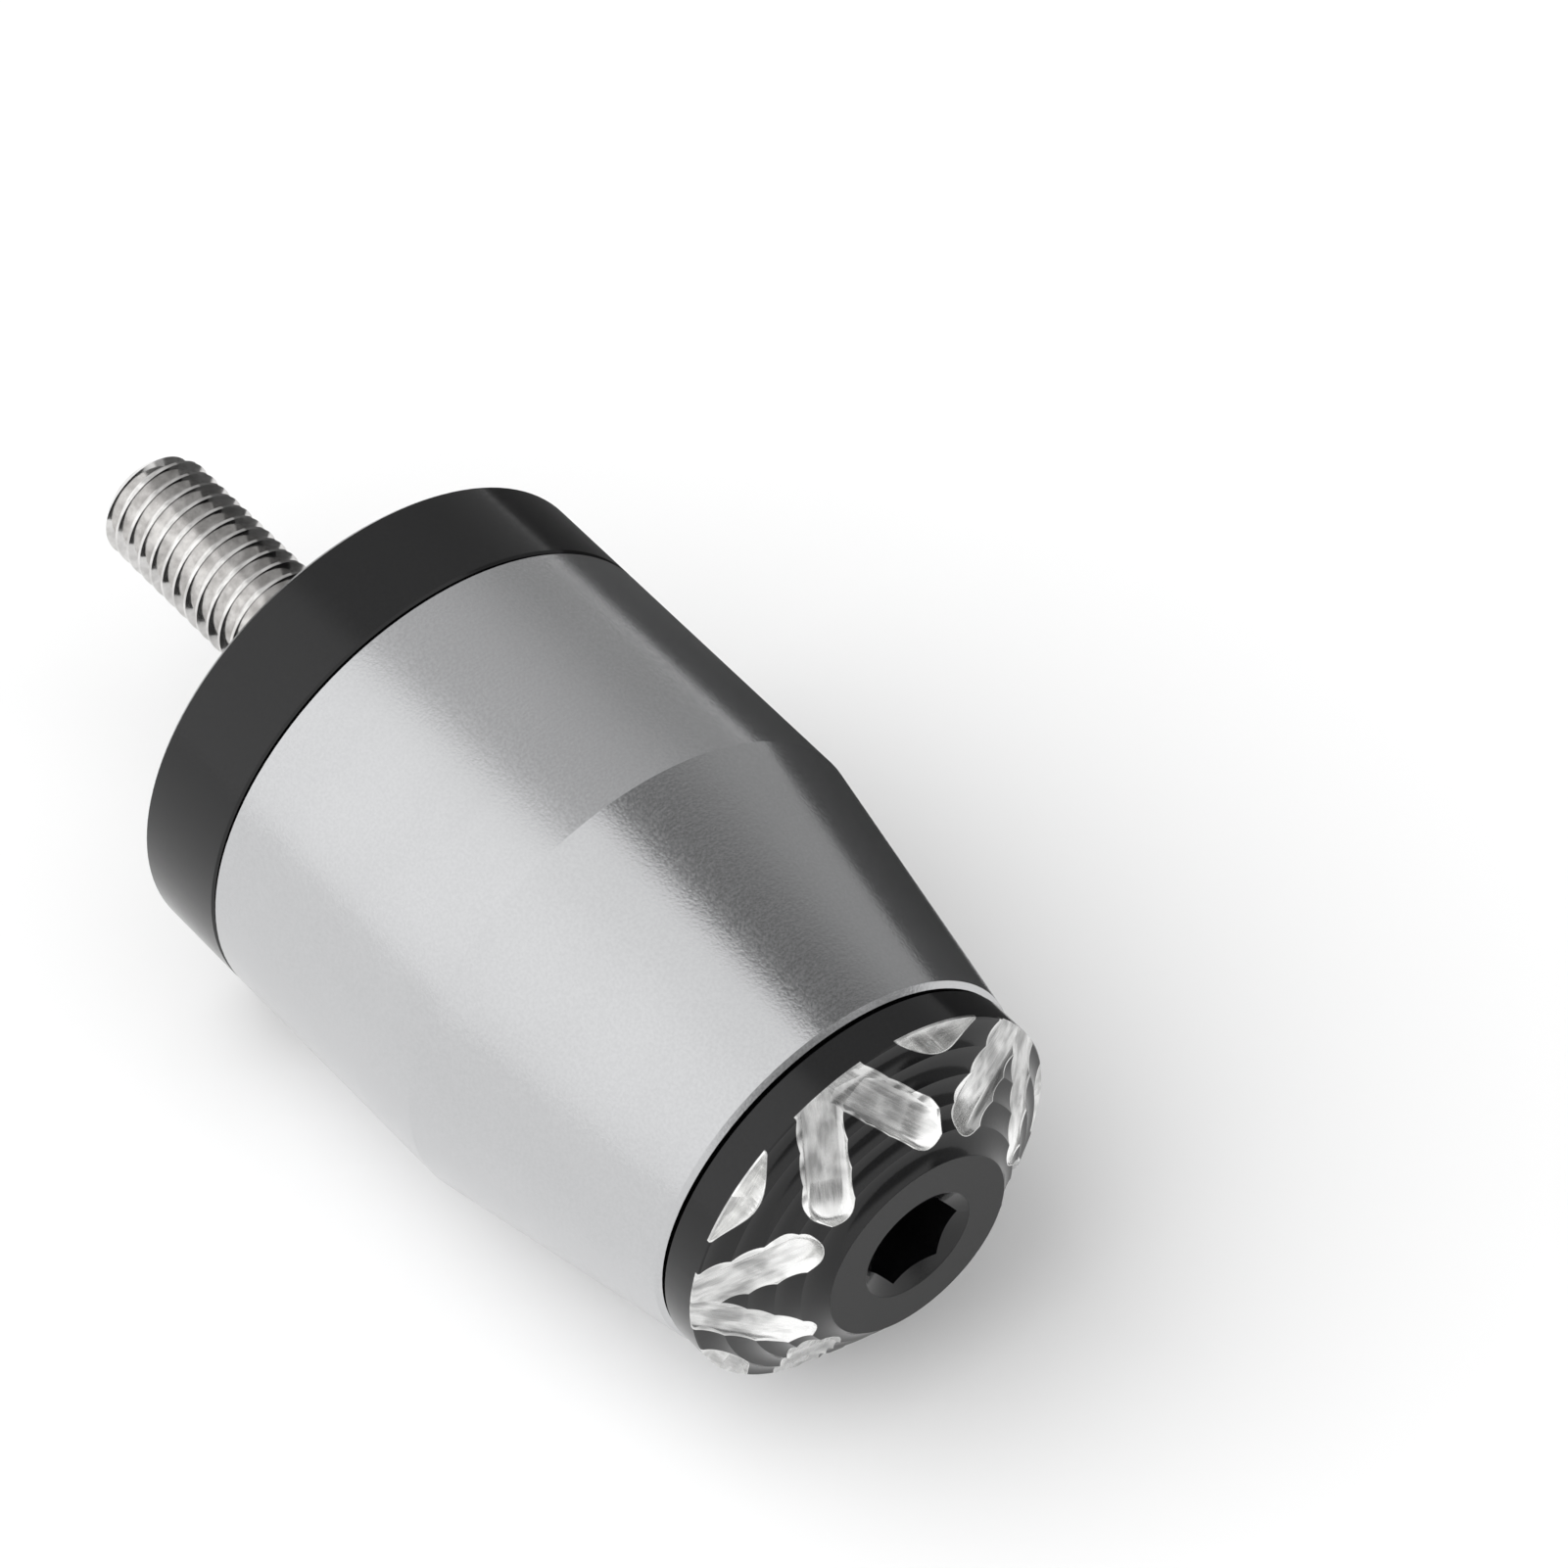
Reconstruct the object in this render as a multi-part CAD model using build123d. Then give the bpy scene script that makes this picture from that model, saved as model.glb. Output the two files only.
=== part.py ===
from build123d import *
import os
from math import ceil, cos, radians, sin, sqrt, tan

# A motorbike bar end: black collar, grey tapered sleeve and milled black cap on one long stud.
# The axis is X. X = 0 is the back face of the collar, which seats against the handlebar,
# and the nose of the cap points along +X. Lengths are in millimetres, angles in degrees.

# Stud, threaded at both ends with a thinner plain shank between
stud_diameter = 8.0
stud_reach = 24.2
stud_tip_chamfer = 0.9
stud_shank_diameter = 7.2
stud_inner_thread = 9.0
stud_engagement = 8.0
thread_clearance = 0.05
bore_clearance = 0.25

# Rolled thread on the free end of the stud
thread_pitch = 1.25
thread_depth = 0.7
thread_crest_flat = 0.22
thread_root_flat = 0.24
thread_runout = 1.93
thread_overrun = 0.1

# Collar
body_diameter = 36.0
collar_length = 7.3
collar_back_edge = 0.3
collar_spigot_diameter = 24.0
collar_spigot_length = 4.0

# Seam between collar and sleeve
seam_gap = 0.15
seam_depth = 1.2
seam_edge = 0.15

# Sleeve
sleeve_straight = 20.2
sleeve_taper = 19.9
sleeve_end_diameter = 28.4
sleeve_lip = 0.3

# Fit of the two spigots in the sleeve
spigot_clearance = 0.1
spigot_end_gap = 0.5
spigot_chamfer = 0.5

# Cap
cap_gap = 0.3
cap_gap_depth = 1.6
cap_diameter = 28.0
cap_band = 2.8
cap_spigot_diameter = 20.0
cap_spigot_length = 10.0
cap_edge = 0.1
dome_height = 4.6
nose_diameter = 13.9
cove_count = 4
cove_pitch = 1.36
cove_sag = 0.18

# Milled pockets of the cap: pairs of slots that meet in a V, with a notch between pairs
pocket_count = 5
pocket_turn = 31.6
slot_width = 2.8
slot_end_radius = 9.3
slot_end_angle = 24.1
slot_splay = 28.0
slot_corner = 0.5
slot_floor_slope = 29.5
slot_floor_turn = 11.5
slot_floor_drop = 0.2
deep_slot_extra = 0.12
notch_radius = 6.3
notch_reach = 12.6
notch_floor_drop = 0.15

# Hexagon socket
hex_across_flats = 6.0
hex_depth = 5.5
hex_drill_angle = 118.0
hex_chamfer_diameter = 8.3
hex_chamfer_angle = 120.0
hex_turn = 2.6

# Places along the axis and radii that several pieces share
body_radius = body_diameter / 2
sleeve_back = collar_length + seam_gap
knee = sleeve_back + sleeve_straight
sleeve_front = knee + sleeve_taper
band_back = sleeve_front + cap_gap
rim = band_back + cap_band
nose = rim + dome_height
cap_radius = cap_diameter / 2
dome_radius = cap_radius - cap_edge
nose_radius = nose_diameter / 2
dome_slope = dome_height / (dome_radius - nose_radius)
stud_radius = stud_diameter / 2
stud_bore = stud_radius + bore_clearance
cap_spigot_back = sleeve_front - cap_spigot_length
stud_head = cap_spigot_back + stud_engagement

# Plane across the part, with its normal along the axis towards the nose
across = Plane(origin=(0, 0, 0), x_dir=(0, 1, 0), z_dir=(1, 0, 0))


# Turns a closed outline of (place along the axis, radius) lines into a solid
def turned(lines):
    return revolve(make_face(Wire(lines)), Axis.X, 360)


# Straight lines through a list of points, closed back to the first
def closed_lines(points):
    return [Line(a, b) for a, b in zip(points, points[1:] + points[:1])]


# Collar: a flat ring with a spigot that centres the sleeve
def base_collar():
    spigot_front = sleeve_back + collar_spigot_length
    spigot_radius = collar_spigot_diameter / 2
    land = body_radius - seam_depth
    return turned(closed_lines([
        (0, stud_bore),
        (0, body_radius - collar_back_edge),
        (collar_back_edge, body_radius),
        (collar_length - seam_edge, body_radius),
        (collar_length, body_radius - seam_edge),
        (collar_length, land),
        (sleeve_back, land),
        (sleeve_back, spigot_radius),
        (spigot_front - spigot_chamfer, spigot_radius),
        (spigot_front, spigot_radius - spigot_chamfer),
        (spigot_front, stud_bore)]))


# Sleeve: straight and then tapered outside, bored for the stud and for both spigots
def sleeve():
    back_seat = collar_spigot_diameter / 2 + spigot_clearance
    back_floor = sleeve_back + collar_spigot_length + spigot_end_gap
    front_seat = cap_spigot_diameter / 2 + spigot_clearance
    front_floor = cap_spigot_back - spigot_end_gap
    end_radius = sleeve_end_diameter / 2
    taper_slope = (body_radius - end_radius) / sleeve_taper
    return turned(closed_lines([
        (sleeve_back, back_seat),
        (sleeve_back, body_radius - seam_edge),
        (sleeve_back + seam_edge, body_radius),
        (knee, body_radius),
        (sleeve_front - sleeve_lip, end_radius + sleeve_lip * taper_slope),
        (sleeve_front, end_radius - sleeve_lip),
        (sleeve_front, front_seat),
        (front_floor, front_seat),
        (front_floor, stud_bore),
        (back_floor, stud_bore),
        (back_floor, back_seat)]))


# Cutter for one turn of the groove between the threads, right-handed, starting at X = 0
def groove_cutter():
    root = thread_root_flat / 2
    crest = (thread_pitch - thread_crest_flat) / 2
    mouth = crest + thread_overrun * (crest - root) / thread_depth
    section = Plane.XZ * Pos(0, stud_radius) * make_face(Wire(closed_lines([
        (-mouth, thread_overrun),
        (mouth, thread_overrun),
        (root, -thread_depth),
        (-root, -thread_depth)])))
    return sweep(section, Helix(thread_pitch, thread_pitch, stud_radius, direction=(1, 0, 0)), is_frenet=True)


# Stud: held in the cap at one end, threaded and chamfered at the end that enters the handlebar.
# The groove runs out into the shank, inside the collar.
def threaded_stud():
    shank_radius = stud_shank_diameter / 2
    inner_thread_start = stud_head - stud_inner_thread
    blank = turned(closed_lines([
        (-stud_reach, 0),
        (-stud_reach, stud_radius - stud_tip_chamfer),
        (stud_tip_chamfer - stud_reach, stud_radius),
        (0, stud_radius),
        (0, shank_radius),
        (inner_thread_start, shank_radius),
        (inner_thread_start, stud_radius),
        (stud_head, stud_radius),
        (stud_head, 0)]))
    groove = groove_cutter()
    turns = ceil((stud_reach + thread_runout) / thread_pitch) + 1
    return blank - [Pos(thread_runout - n * thread_pitch) * groove for n in range(1, turns + 1)]


# Point of the plain cone that the coves are cut into, at a radius
def dome_point(radius):
    return (rim + dome_slope * (dome_radius - radius), radius)


# Cap before milling: spigot, band and a dome of shallow turned coves
def cap_blank():
    spigot_radius = cap_spigot_diameter / 2
    hole = stud_radius + thread_clearance
    land = cap_radius - cap_gap_depth
    crests = [dome_radius - cove_pitch * n for n in range(cove_count + 1)] + [nose_radius]
    lean = sqrt(1 + dome_slope ** 2)
    lines = []
    for outer, inner in zip(crests, crests[1:]):
        place, radius = dome_point((outer + inner) / 2)
        low = (place - cove_sag / lean, radius - cove_sag * dome_slope / lean)
        lines.append(ThreePointArc(dome_point(outer), low, dome_point(inner)))
    points = [
        (nose, nose_radius),
        (nose, 0),
        (stud_head, 0),
        (stud_head, hole),
        (cap_spigot_back, hole),
        (cap_spigot_back, spigot_radius - spigot_chamfer),
        (cap_spigot_back + spigot_chamfer, spigot_radius),
        (sleeve_front, spigot_radius),
        (sleeve_front, land),
        (band_back, land),
        (band_back, cap_radius - cap_edge),
        (band_back + cap_edge, cap_radius),
        (rim - cap_edge, cap_radius),
        (rim, dome_radius)]
    lines += [Line(a, b) for a, b in zip(points, points[1:])]
    return turned(lines)


# Cutter for one slot: straight walls, a round end, a sloping floor and a rounded corner
def slot_cutter(side, extra):
    end_angle = radians(side * slot_end_angle)
    splay = radians(side * slot_splay)
    end = Vector(slot_end_radius * cos(end_angle), slot_end_radius * sin(end_angle))
    along = Vector(cos(splay), -sin(splay))
    middle = end + along * (cap_radius / 2)
    outline = Pos(middle.X, middle.Y) * Rot(0, 0, -side * slot_splay) * SlotCenterToCenter(cap_radius, slot_width)
    block = extrude(Pos(0, 0, band_back) * outline, 2 * (nose - band_back))
    slope = radians(slot_floor_slope)
    turn = radians(side * slot_floor_turn)
    normal = Vector(sin(slope) * cos(turn), sin(slope) * sin(turn), cos(slope))
    start = Vector(cap_radius * cos(turn), cap_radius * sin(turn), rim - slot_floor_drop - extra)
    floor = Plane(origin=start, z_dir=normal)
    cutter = split(block, bisect_by=floor, keep=Keep.TOP)
    bottom = cutter.faces().sort_by(Axis(start, normal))[0]
    return fillet(bottom.edges(), slot_corner)


# Cutter for one notch: a round bite out of the rim with a flat floor
def notch_cutter():
    middle = notch_reach + notch_radius
    outline = Pos(middle, 0, rim - notch_floor_drop) * Circle(notch_radius)
    return Rot(0, 0, 180 / pocket_count) * extrude(outline, dome_height)


# Hexagon socket with the cone of the drilled hole below it and a turned chamfer at its mouth
def socket_cutter():
    corner = hex_across_flats / sqrt(3)
    bottom = nose - hex_depth
    outline = across * Pos(0, 0, bottom) * Rot(0, 0, hex_turn) * RegularPolygon(corner, 6)
    drill = hex_across_flats / 2
    drill_tip = bottom - drill / tan(radians(hex_drill_angle / 2))
    mouth = hex_chamfer_diameter / 2
    mouth_depth = mouth / tan(radians(hex_chamfer_angle / 2))
    return [
        extrude(outline, hex_depth),
        turned(closed_lines([(bottom, 0), (bottom, drill), (drill_tip, 0)])),
        turned(closed_lines([(nose, 0), (nose, mouth), (nose - mouth_depth, 0)]))]


# Cap: the blank with its milled pockets and its hexagon socket
def end_cap():
    cutters = []
    shapes = [slot_cutter(1, deep_slot_extra), slot_cutter(-1, 0), notch_cutter()]
    for n in range(pocket_count):
        turn = pocket_turn + n * 360 / pocket_count
        cutters += [across.location * Rot(0, 0, turn) * shape for shape in shapes]
    return cap_blank() - cutters - socket_cutter()


parts = {
    "base_collar": base_collar(),
    "sleeve": sleeve(),
    "end_cap": end_cap(),
    "threaded_stud": threaded_stud(),
}

os.makedirs("parts", exist_ok=True)
for name, part in parts.items():
    export_step(part, f"parts/{name}.step")
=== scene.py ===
import bmesh
import bpy
from math import cos, pi, radians, sin
from mathutils import Matrix, Vector


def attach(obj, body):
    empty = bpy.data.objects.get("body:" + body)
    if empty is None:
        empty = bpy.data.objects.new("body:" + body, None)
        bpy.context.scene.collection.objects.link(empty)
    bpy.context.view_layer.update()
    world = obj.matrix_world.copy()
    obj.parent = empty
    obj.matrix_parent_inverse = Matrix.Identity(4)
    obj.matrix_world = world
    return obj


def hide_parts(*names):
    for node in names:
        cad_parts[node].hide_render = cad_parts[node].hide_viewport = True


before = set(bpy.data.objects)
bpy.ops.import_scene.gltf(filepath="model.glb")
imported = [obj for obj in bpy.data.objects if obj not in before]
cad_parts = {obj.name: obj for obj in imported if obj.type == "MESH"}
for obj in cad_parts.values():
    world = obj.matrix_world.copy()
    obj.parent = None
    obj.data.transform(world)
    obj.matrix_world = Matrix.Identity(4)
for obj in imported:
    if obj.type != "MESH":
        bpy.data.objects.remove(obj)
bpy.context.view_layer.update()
scene = bpy.context.scene
scene.view_settings.view_transform = "Standard"
mm = 0.001

# The stud: a length of stainless rod with a rolled M8 thread. It screws into the back of the
# cap, runs through sleeve and collar, and its free end goes into the handlebar. Rolling leaves
# the thread bright, with faint patches.
thread_pitch = 1.25 * mm
thread_crest = 3.97 * mm
thread_root = 3.27 * mm
thread_crest_flat = 0.22 * mm
thread_root_flat = 0.24 * mm
thread_turns = 22
turns_before_tip = 2
steps_per_turn = 96
stud_tip = -24.2 * mm
stud_tip_radius = 3.1 * mm
stud_thread_end = 0.0
stud_shank_radius = 3.6 * mm
stud_inner_thread = 36.55 * mm
stud_head = 45.55 * mm
stud_sharp_angle = radians(35)
weld_distance = 0.001 * mm
rolled_dark = (0.58, 0.57, 0.56)
rolled_light = (0.80, 0.79, 0.78)
rolled_patch_scale = 900
rolled_line_scale = 4000
rolled_line_stretch = (1, 0.15, 0.15)
rolled_roughness = (0.08, 0.16)
rolled_depth = 0.004 * mm


def new_object(name, shape):
    """An object at the origin that has the given shape as its mesh."""
    mesh = bpy.data.meshes.new(name)
    shape.to_mesh(mesh)
    shape.free()
    made = bpy.data.objects.new(name, mesh)
    scene.collection.objects.link(made)
    return made


def chain(shape, points):
    """Vertices joined by edges, in the plane of the axis, ready to be spun round it."""
    corners = [shape.verts.new((x, 0, r)) for x, r in points]
    edges = [shape.edges.new(pair) for pair in zip(corners, corners[1:])]
    return corners + edges


thread = bmesh.new()
flank = (thread_pitch - thread_crest_flat - thread_root_flat) / 2
start = stud_tip - turns_before_tip * thread_pitch
ridge = chain(thread, [
    (start, thread_root),
    (start + flank, thread_crest),
    (start + flank + thread_crest_flat, thread_crest),
    (start + 2 * flank + thread_crest_flat, thread_root),
    (start + thread_pitch, thread_root)])
bmesh.ops.spin(
    thread, geom=ridge, cent=(0, 0, 0), axis=(1, 0, 0), angle=2 * pi * thread_turns,
    dvec=(thread_pitch / steps_per_turn, 0, 0), steps=steps_per_turn * thread_turns)
bmesh.ops.remove_doubles(thread, verts=thread.verts, dist=weld_distance)
for place, side in ((stud_tip, 1), (stud_thread_end, -1)):
    bmesh.ops.bisect_plane(
        thread, geom=thread.verts[:] + thread.edges[:] + thread.faces[:],
        plane_co=(place, 0, 0), plane_no=(-side, 0, 0), clear_outer=True)
for corner in thread.verts:
    allowed = stud_tip_radius + corner.co.x - stud_tip
    reach = corner.co.yz.length
    if reach > allowed:
        corner.co.y *= allowed / reach
        corner.co.z *= allowed / reach
bmesh.ops.holes_fill(thread, edges=[e for e in thread.edges if e.is_boundary])
shank = chain(thread, [
    (stud_thread_end, 0), (stud_thread_end, stud_shank_radius),
    (stud_inner_thread, stud_shank_radius), (stud_inner_thread, thread_crest),
    (stud_head, thread_crest), (stud_head, 0)])
bmesh.ops.spin(
    thread, geom=shank, cent=(0, 0, 0), axis=(1, 0, 0), angle=2 * pi,
    steps=steps_per_turn, use_merge=True)
bmesh.ops.remove_doubles(thread, verts=thread.verts, dist=weld_distance)
bmesh.ops.recalc_face_normals(thread, faces=thread.faces)
stud = new_object("stud_thread", thread)
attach(stud, "root")
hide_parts("threaded_stud")
stud.data.shade_smooth()
stud.data.set_sharp_from_angle(angle=stud_sharp_angle)


def new_finish(name, metallic=0.0, ior=1.5):
    """A material with one Principled shader, whose fixed values are set on its own sockets."""
    finish = bpy.data.materials.new(name)
    finish.use_nodes = True
    shader = finish.node_tree.nodes["Principled BSDF"]
    shader.inputs["Metallic"].default_value = metallic
    shader.inputs["IOR"].default_value = ior
    return finish, finish.node_tree, shader


def add(tree, kind, inputs, **settings):
    """A node with its settings, and each input either a fixed value or another node's output."""
    made = tree.nodes.new(kind)
    for name, value in settings.items():
        setattr(made, name, value)
    for name, value in inputs.items():
        if isinstance(value, bpy.types.NodeSocket):
            tree.links.new(value, made.inputs[name])
        else:
            made.inputs[name].default_value = value
    return made


def ramp(tree, value, low, high, to_low, to_high):
    """Turns a value between low and high smoothly into one between to_low and to_high."""
    return add(
        tree, "ShaderNodeMapRange",
        {"Value": value, "From Min": low, "From Max": high, "To Min": to_low, "To Max": to_high},
        interpolation_type="SMOOTHSTEP").outputs[0]


def spread(tree, noise, low, high, reach=0.2):
    """Spreads noise over a range. Most of it lies within reach of 0.5."""
    return ramp(tree, noise, 0.5 - reach, 0.5 + reach, low, high)


def grain(tree, scale, stretch=(1, 1, 1), detail=3.0):
    """Noise on the piece's own coordinates, stretched along its axes."""
    place = add(tree, "ShaderNodeTexCoord", {}).outputs["Object"]
    stretched = add(tree, "ShaderNodeMapping", {"Vector": place, "Scale": stretch}).outputs[0]
    return add(
        tree, "ShaderNodeTexNoise",
        {"Vector": stretched, "Scale": scale, "Detail": detail, "Roughness": 0.55}).outputs["Fac"]


def blend_colour(tree, share, first, second):
    """Mixes two colours by a share from 0 to 1."""
    made = add(tree, "ShaderNodeMix", {0: share}, data_type="RGBA")
    for place, colour in ((6, first), (7, second)):
        if isinstance(colour, bpy.types.NodeSocket):
            tree.links.new(colour, made.inputs[place])
        else:
            made.inputs[place].default_value = (*colour, 1)
    return made.outputs[2]


def roughen(tree, shader, height, depth):
    """Bump of a real depth in metres on a shader."""
    bump = add(tree, "ShaderNodeBump", {"Height": height, "Distance": depth, "Strength": 1.0})
    tree.links.new(bump.outputs[0], shader.inputs["Normal"])


def dress(piece, finish):
    """Gives a piece one finish all over."""
    piece.data.materials.clear()
    piece.data.materials.append(finish)


steel, tree, shader = new_finish("rolled_stainless", metallic=1.0)
rolled_lines = grain(tree, rolled_line_scale, rolled_line_stretch)
rolled_patches = grain(tree, rolled_patch_scale)
tone = blend_colour(tree, spread(tree, rolled_patches, 0, 1), rolled_dark, rolled_light)
tree.links.new(tone, shader.inputs["Base Color"])
tree.links.new(spread(tree, rolled_lines, *rolled_roughness), shader.inputs["Roughness"])
roughen(tree, shader, rolled_lines, rolled_depth)
dress(stud, steel)

# The collar: a flat ring turned from aluminium bar and anodised black. It slides over the
# stud, centres the sleeve with its spigot, and its flat back seats on the handlebar's end.
black_ior = 1.44
black_dark = (0.002, 0.002, 0.0022)
black_light = (0.005, 0.005, 0.0054)
black_speck_scale = 7000
black_speck_depth = 0.002 * mm
turned_line_scale = 9000
turned_line_stretch = (1, 0.02, 0.02)
turned_roughness = (0.14, 0.2)

black, tree, shader = new_finish("black_anodised", ior=black_ior)
turned_lines = grain(tree, turned_line_scale, turned_line_stretch)
speck = grain(tree, black_speck_scale)
tone = blend_colour(tree, spread(tree, speck, 0, 1), black_dark, black_light)
tree.links.new(tone, shader.inputs["Base Color"])
tree.links.new(spread(tree, turned_lines, *turned_roughness), shader.inputs["Roughness"])
roughen(tree, shader, speck, black_speck_depth)
dress(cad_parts["base_collar"], black)

# The sleeve: turned from aluminium, straight and then tapered, and anodised a titanium grey
# with a fine satin grain. It is clamped between collar and cap on their spigots.
grey_dark = (0.503, 0.506, 0.514)
grey_light = (0.552, 0.556, 0.564)
grey_roughness = (0.17, 0.25)
grey_depth = 0.014 * mm
satin_scale = 5000
satin_line_stretch = (1, 0.01, 0.01)
satin_line_share = 0.3
cloud_scale = 120
cloud_share = 0.25


def times(tree, first, second):
    """Two values multiplied."""
    return add(tree, "ShaderNodeMath", {0: first, 1: second}, operation="MULTIPLY").outputs[0]


def plus(tree, first, second):
    """Two values added."""
    return add(tree, "ShaderNodeMath", {0: first, 1: second}, operation="ADD").outputs[0]


grey, tree, shader = new_finish("grey_anodised", metallic=1.0)
satin = grain(tree, satin_scale, detail=2.0)
satin_lines = grain(tree, satin_scale, satin_line_stretch)
cloud = grain(tree, cloud_scale)
shade = plus(
    tree, spread(tree, cloud, 0, cloud_share), spread(tree, satin, 0, 1 - cloud_share))
tree.links.new(blend_colour(tree, shade, grey_dark, grey_light), shader.inputs["Base Color"])
rubbed = plus(
    tree, times(tree, satin, 1 - satin_line_share), times(tree, satin_lines, satin_line_share))
tree.links.new(
    spread(tree, rubbed, *grey_roughness, reach=0.15), shader.inputs["Roughness"])
roughen(tree, shader, rubbed, grey_depth)
dress(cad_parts["sleeve"], grey)

# The cap: turned from aluminium with shallow coves, anodised black, and then milled, so that
# the slots and notches show bright bare metal. A hexagon key in its nose tightens the stud.
# These lengths are in millimetres, as the material reads them.
cap_rim = 50.65
cap_nose = 55.25
pocket_count = 5
pocket_turn = radians(31.6)
pocket_back = cap_rim - 0.3
half_share = pi / pocket_count
slot_half = 1.4
slot_end_radius = 9.3
slot_end_angle = radians(24.1)
slot_splay = radians(28)
slot_end = slot_end_radius * Vector((cos(slot_end_angle), sin(slot_end_angle)))
slot_way = Vector((cos(slot_splay), -sin(slot_splay)))
notch_radius = 6.3
notch_reach = 12.6
notch_way = Vector((cos(half_share), sin(half_share)))
notch_middle = (notch_reach + notch_radius) * notch_way
mask_edge = 0.02
bare_reach = 0.03
bare_fade = 0.05
bare_dark = (0.15, 0.15, 0.15)
bare_light = (0.95, 0.95, 0.94)
bare_roughness = (0.2, 0.3)
patch_shine = (0.25, 0.68)
line_shine = 0.06
notch_shine = 0.2
# Painted highlight: how much lighter the bare metal is coloured towards each slot's round end, and
# where this is full and where it fades
slot_end_painted_highlight = 0.55
slot_highlight_full_at = -0.3
slot_highlight_fade_at = 2.2
# Painted highlight: how much lighter, and over how wide a band, the bare metal is coloured just inside
# the edges of the cuts
edge_painted_highlight = 0.12
edge_highlight_width = 0.12
rise_start = 1.2
rise_depth = 0.13
line_depth = 0.003
speck_depth = 0.002
dome_roughness = 0.15
nose_roughness = 0.45
pocket_step = 7.3
side_step = 3.1

# Waves per millimetre along and across the cutter's way, and the detail of each kind of mark
slot_patch_marks = (0.45, 0.8, 2.0)
slot_line_marks = (0.5, 7.0, 3.0)
notch_patch_marks = (0.5, 0.9, 2.0)
notch_line_marks = (0.3, 6.0, 3.0)


def reckon(tree, operation, *values, clamp=False):
    """One arithmetic step of any kind."""
    return add(
        tree, "ShaderNodeMath", dict(enumerate(values)),
        operation=operation, use_clamp=clamp).outputs[0]


def minus(tree, first, second):
    """One value taken from another."""
    return reckon(tree, "SUBTRACT", first, second)


def length(tree, first, second):
    """How far a step is that goes one distance and then another at right angles to it."""
    return reckon(tree, "SQRT", plus(tree, times(tree, first, first), times(tree, second, second)))


def along_way(tree, u, v, way):
    """How far a place lies along a way, in the plane across the axis."""
    return plus(tree, times(tree, u, way[0]), times(tree, v, way[1]))


def choose(tree, share, first, second):
    """Mixes two values by a share from 0 to 1."""
    return add(tree, "ShaderNodeMix", {0: share, 2: first, 3: second}, data_type="FLOAT").outputs[0]


def tool_marks(tree, long_way, cross_way, pocket, marks):
    """Noise drawn out along the way that a cutter has moved, different in each pocket."""
    long_scale, cross_scale, detail = marks
    way = add(tree, "ShaderNodeCombineXYZ", {
        "X": times(tree, long_way, long_scale),
        "Y": times(tree, cross_way, cross_scale), "Z": pocket}).outputs[0]
    return add(tree, "ShaderNodeTexNoise", {
        "Vector": way, "Scale": 1.0, "Detail": detail, "Roughness": 0.55,
        "Distortion": 0.3}).outputs["Fac"]


# Where a place is on the cap: folded to one half of one pocket, with u out along the middle of
# the pocket and v to its side
cap_finish, tree, shader = new_finish("black_anodised_milled", ior=black_ior)
place = add(tree, "ShaderNodeTexCoord", {}).outputs["Object"]
sized = add(tree, "ShaderNodeMapping", {"Vector": place, "Scale": (1 / mm, 1 / mm, 1 / mm)}).outputs[0]
x, y, z = add(tree, "ShaderNodeSeparateXYZ", {"Vector": sized}).outputs
from_axis = length(tree, y, z)
angle = minus(tree, reckon(tree, "ARCTAN2", z, y), pocket_turn)
side_angle = reckon(tree, "WRAP", angle, half_share, -half_share)
fold = reckon(tree, "ABSOLUTE", side_angle)
u = times(tree, from_axis, reckon(tree, "COSINE", fold))
v = times(tree, from_axis, reckon(tree, "SINE", fold))

# How far it is from the slot and from the notch, and along and across each of them
slot_u = minus(tree, u, slot_end[0])
slot_v = minus(tree, v, slot_end[1])
along_slot = along_way(tree, slot_u, slot_v, slot_way)
across_slot = along_way(tree, slot_u, slot_v, (slot_way[1], -slot_way[0]))
from_slot = minus(
    tree, length(tree, reckon(tree, "MINIMUM", along_slot, 0.0), across_slot), slot_half)
notch_inward = along_way(tree, u, v, notch_way)
notch_sideways = along_way(tree, u, v, (-notch_way[1], notch_way[0]))
from_notch = minus(
    tree, length(tree, minus(tree, u, notch_middle[0]), minus(tree, v, notch_middle[1])),
    notch_radius)
from_cut = reckon(tree, "MINIMUM", from_slot, from_notch)
in_notch = ramp(tree, from_notch, -mask_edge, mask_edge, 1, 0)
bare = times(
    tree, ramp(tree, from_cut, bare_reach, bare_reach + bare_fade, 1, 0),
    ramp(tree, x, pocket_back - mask_edge, pocket_back + mask_edge, 0, 1))

# The marks of the cutter, and the way the slots' floors rise at their round ends
sector = reckon(
    tree, "FLOOR", reckon(tree, "DIVIDE", plus(tree, angle, half_share), 2 * half_share))
pocket = plus(
    tree, times(tree, sector, pocket_step),
    times(tree, reckon(tree, "SIGN", side_angle), side_step))
cutter_patches = choose(
    tree, in_notch, tool_marks(tree, along_slot, across_slot, pocket, slot_patch_marks),
    tool_marks(tree, notch_sideways, notch_inward, pocket, notch_patch_marks))
cutter_lines = choose(
    tree, in_notch, tool_marks(tree, along_slot, across_slot, pocket, slot_line_marks),
    tool_marks(tree, notch_sideways, notch_inward, pocket, notch_line_marks))
past_start = reckon(tree, "MAXIMUM", minus(tree, rise_start, along_slot), 0.0)
rise = times(tree, reckon(tree, "POWER", past_start, 2.0), minus(tree, 1.0, in_notch))

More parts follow.
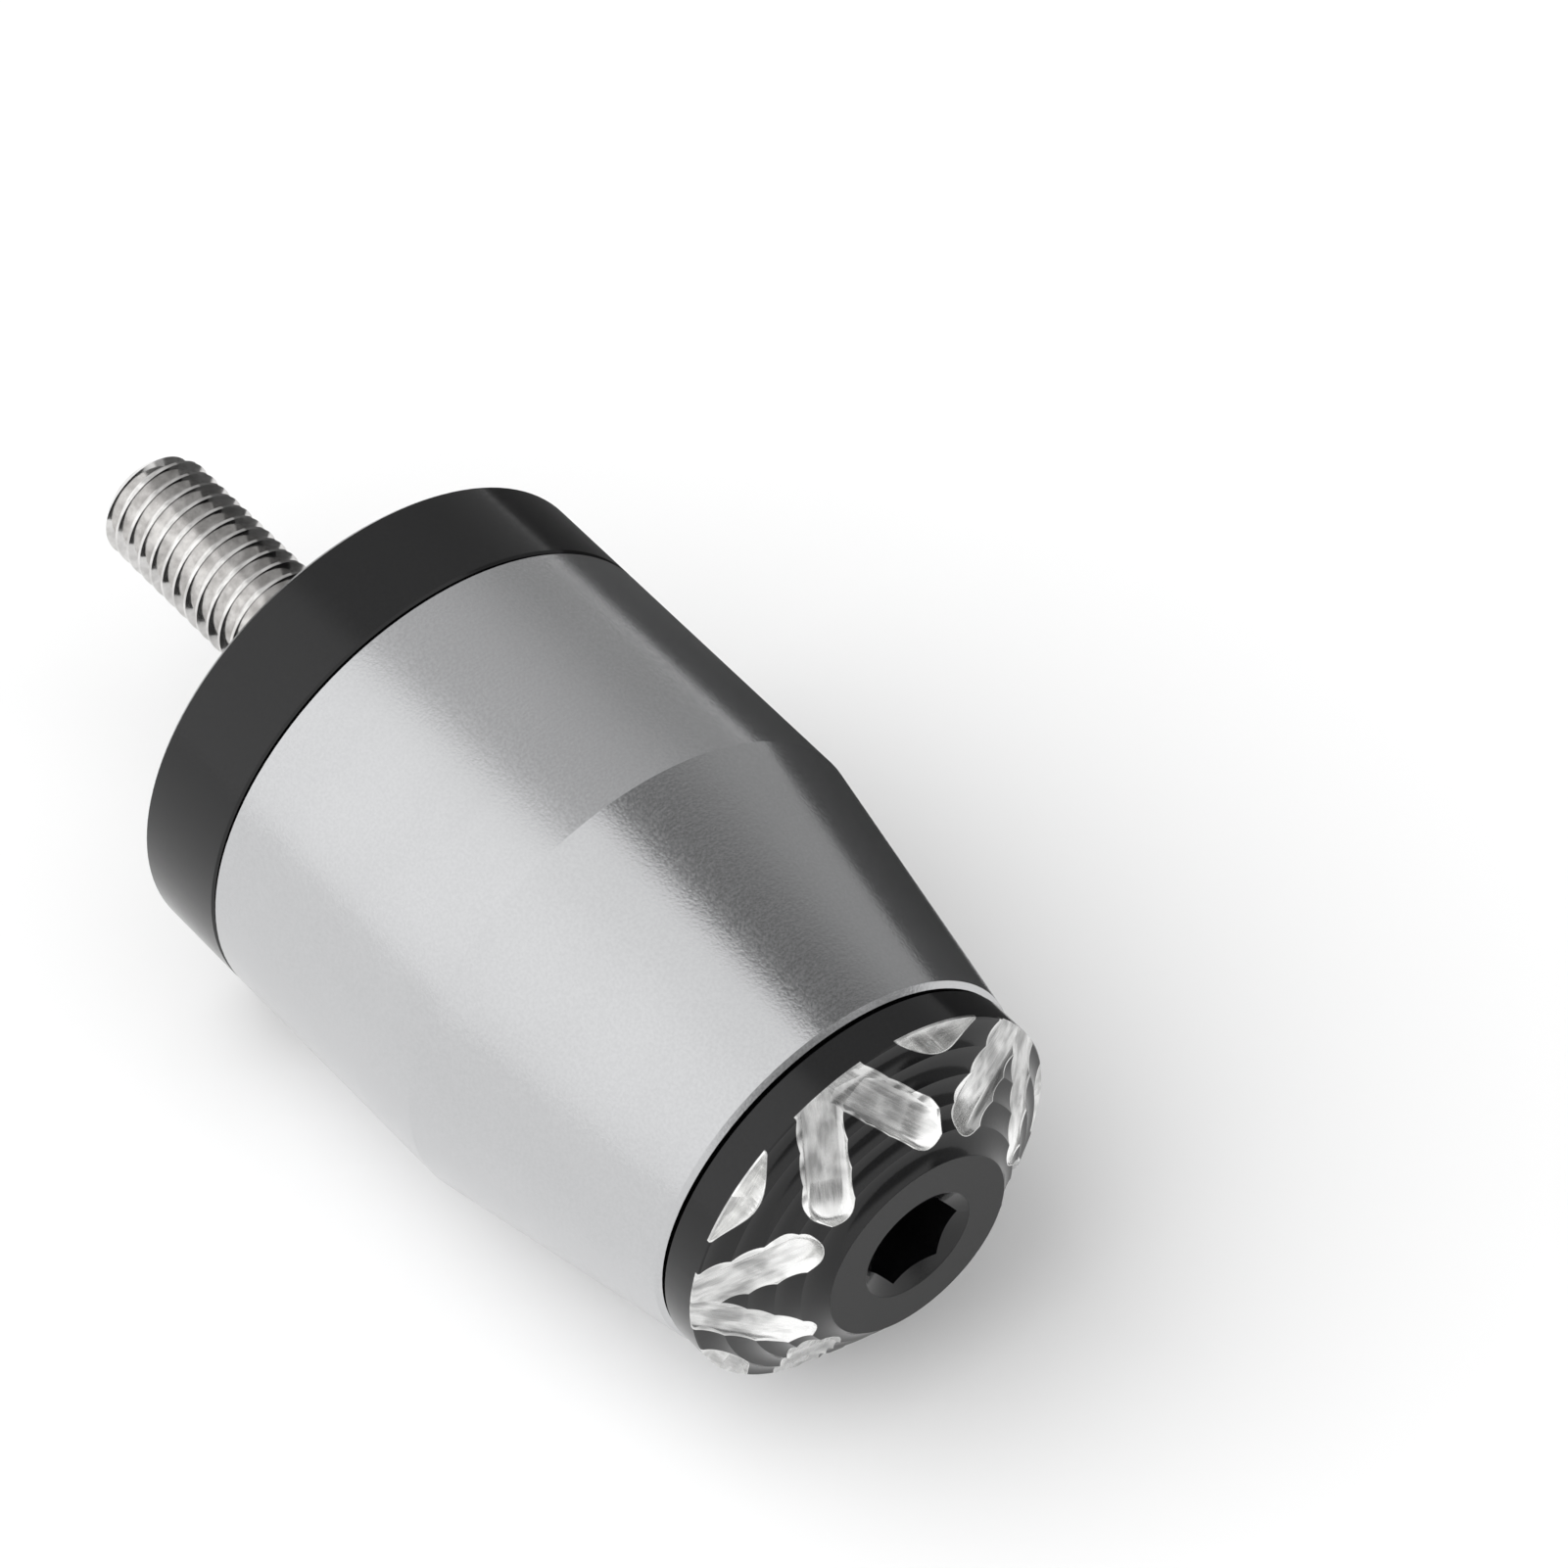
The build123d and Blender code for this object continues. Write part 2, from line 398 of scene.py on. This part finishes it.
# The colour, gloss and bump of the black and of the bare metal
speck = grain(tree, black_speck_scale)
dark = blend_colour(tree, spread(tree, speck, 0, 1), black_dark, black_light)
shine = plus(
    tree, spread(tree, cutter_patches, *patch_shine, reach=0.15),
    spread(tree, cutter_lines, -line_shine, line_shine))
# Painted highlight: the bare metal is coloured lighter towards each slot's round end, where the rising
# floor catches the light
painted_end_highlight = ramp(tree, along_slot, slot_highlight_full_at, slot_highlight_fade_at, slot_end_painted_highlight, 0.0)
shine = plus(tree, shine, choose(tree, in_notch, painted_end_highlight, notch_shine))
# Painted highlight: a thin lighter band coloured along the inside of the slots' and notches' edges
edge = ramp(tree, from_cut, -edge_highlight_width, -mask_edge, 0.0, edge_painted_highlight)
shine = reckon(tree, "ADD", shine, edge, clamp=True)
bright = blend_colour(tree, shine, bare_dark, bare_light)
tree.links.new(blend_colour(tree, bare, dark, bright), shader.inputs["Base Color"])
tree.links.new(bare, shader.inputs["Metallic"])
on_nose = ramp(tree, x, cap_nose - 3 * mask_edge, cap_nose - mask_edge, 0, 1)
black_roughness = choose(tree, on_nose, dome_roughness, nose_roughness)
tree.links.new(
    choose(tree, bare, black_roughness, spread(tree, cutter_lines, *bare_roughness)),
    shader.inputs["Roughness"])
height = plus(tree, times(tree, rise, rise_depth), times(tree, cutter_lines, line_depth))
height = plus(tree, times(tree, height, bare), times(tree, speck, speck_depth))
roughen(tree, shader, height, mm)
dress(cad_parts["end_cap"], cap_finish)

# The floor: a white board that the bar end lies on. It takes the soft shadow, and a trace of
# glow in what the camera and the metal see of it keeps its lit part white.
floor_height = -18.0 * mm
floor_radius = 3.0
floor_segments = 128
floor_colour = (0.83, 0.83, 0.83)
floor_roughness = 0.8
floor_glow = 0.03

board = bmesh.new()
bmesh.ops.create_circle(
    board, cap_ends=True, segments=floor_segments, radius=floor_radius,
    matrix=Matrix.Translation((0, 0, floor_height)))
floor = new_object("floor", board)
white, tree, shader = new_finish("white_board")
shader.inputs["Base Color"].default_value = (*floor_colour, 1)
shader.inputs["Roughness"].default_value = floor_roughness
shader.inputs["Specular IOR Level"].default_value = 0.0
shader.inputs["Emission Color"].default_value = (1, 1, 1, 1)
path = add(tree, "ShaderNodeLightPath", {})
seen = reckon(tree, "MAXIMUM", path.outputs["Is Camera Ray"], path.outputs["Is Glossy Ray"])
seen = reckon(tree, "MAXIMUM", seen, path.outputs["Is Transmission Ray"])
tree.links.new(times(tree, seen, floor_glow), shader.inputs["Emission Strength"])
dress(floor, white)

# The card: a sheet of black card that stands on the floor beside the part, as a photographer
# sets it to give the far side of the metal a dark edge. Only reflections show it.
card_side = 32 * mm
card_top = 14 * mm
card_back = -90 * mm
card_front = 45 * mm
card_dark = (0.07, 0.07, 0.07)
card_light = (0.1, 0.1, 0.1)
card_fibre_scale = 3000
card_roughness = 0.9

sheet = bmesh.new()
card_middle = Matrix.Translation(
    ((card_back + card_front) / 2, card_side, (card_top + floor_height) / 2))
card_size = Matrix.Diagonal((card_front - card_back, 1, card_top - floor_height, 1))
bmesh.ops.create_grid(
    sheet, x_segments=1, y_segments=1, size=0.5,
    matrix=card_middle @ card_size @ Matrix.Rotation(pi / 2, 4, "X"))
card = new_object("card", sheet)
card.visible_camera = False
card.visible_diffuse = False
card.visible_shadow = False
black_card, tree, shader = new_finish("black_card")
fibres = grain(tree, card_fibre_scale)
paper = blend_colour(tree, spread(tree, fibres, 0, 1), card_dark, card_light)
tree.links.new(paper, shader.inputs["Base Color"])
shader.inputs["Roughness"].default_value = card_roughness
dress(card, black_card)

# The light: a studio whose near side, where the camera stands, is soft white and brightest to
# the camera's left. The far side is grey, lighter overhead and darker beyond the nose.
white_side = (0.5595, -0.795, 0.2348)
white_side_edge = 0.05
white_middle = (-0.49, -0.69, 0.53)
white_middle_edges = (0.7, 1.0)
white_level = 1.15
white_peak = 1.3
beyond_nose = (0.98, 0.2, -0.05)
beyond_nose_edges = (0.76, 0.92)
grey_level = 0.42
grey_least = 0.15
grey_overhead = 1.3
overhead_edges = (0.3, 0.9)
grey_ahead = 0.75
ahead_edges = (0.55, 0.85)

world = bpy.data.worlds.new("studio")
scene.world = world
world.use_nodes = True
tree = world.node_tree
way = add(tree, "ShaderNodeTexCoord", {}).outputs["Generated"]
bearing = add(tree, "ShaderNodeSeparateXYZ", {"Vector": way})
dx = bearing.outputs["X"]
dz = bearing.outputs["Z"]


def toward(tree, way, direction):
    """How closely a direction points along another one, from -1 to 1."""
    return add(
        tree, "ShaderNodeVectorMath", {0: way, 1: direction},
        operation="DOT_PRODUCT").outputs["Value"]


lit_side = ramp(tree, toward(tree, way, white_side), -white_side_edge, white_side_edge, 0, 1)
lit = times(tree, lit_side, ramp(tree, toward(tree, way, beyond_nose), *beyond_nose_edges, 1, 0))
white_light = ramp(
    tree, toward(tree, way, white_middle), *white_middle_edges, white_level, white_peak)
overhead = times(
    tree, reckon(tree, "MULTIPLY_ADD", dx, -grey_overhead, -grey_level),
    ramp(tree, dz, *overhead_edges, 0, 1))
grey_light_level = reckon(tree, "MAXIMUM", plus(tree, overhead, grey_level), grey_least)
grey_light_level = times(tree, grey_light_level, ramp(tree, dx, *ahead_edges, 1.0, grey_ahead))
background = tree.nodes["Background"]
background.inputs["Color"].default_value = (1, 1, 1, 1)
tree.links.new(choose(tree, lit, grey_light_level, white_light), background.inputs["Strength"])

# The key lamp: a broad soft lamp, high up to the camera's left, which gives the part its shadow
# on the floor. Reflections leave it out and show the studio's white side in its place.
key_way = Vector((-0.3, -0.7, 0.9))
key_lamp = bpy.data.lights.new("key", "SUN")
key_lamp.energy = 1.6
key_lamp.angle = radians(70)
key = bpy.data.objects.new("key", key_lamp)
scene.collection.objects.link(key)
key.rotation_mode = "QUATERNION"
key.rotation_quaternion = key_way.to_track_quat("Z", "Y")
key.visible_glossy = False

# The camera: a long lens that looks down on the part, from beyond its nose and to one side.
camera_data = bpy.data.cameras.new("camera")
camera_data.lens = 180.66
camera_data.sensor_width = 36
camera_data.clip_start = 0.01
camera_data.clip_end = 10
camera = bpy.data.objects.new("camera", camera_data)
scene.collection.objects.link(camera)
camera.location = (0.271177, -0.187802, 0.388640)
camera.rotation_mode = "QUATERNION"
camera.rotation_quaternion = Vector((-0.49386, 0.40529, -0.76931)).to_track_quat("-Z", "Y")
scene.camera = camera
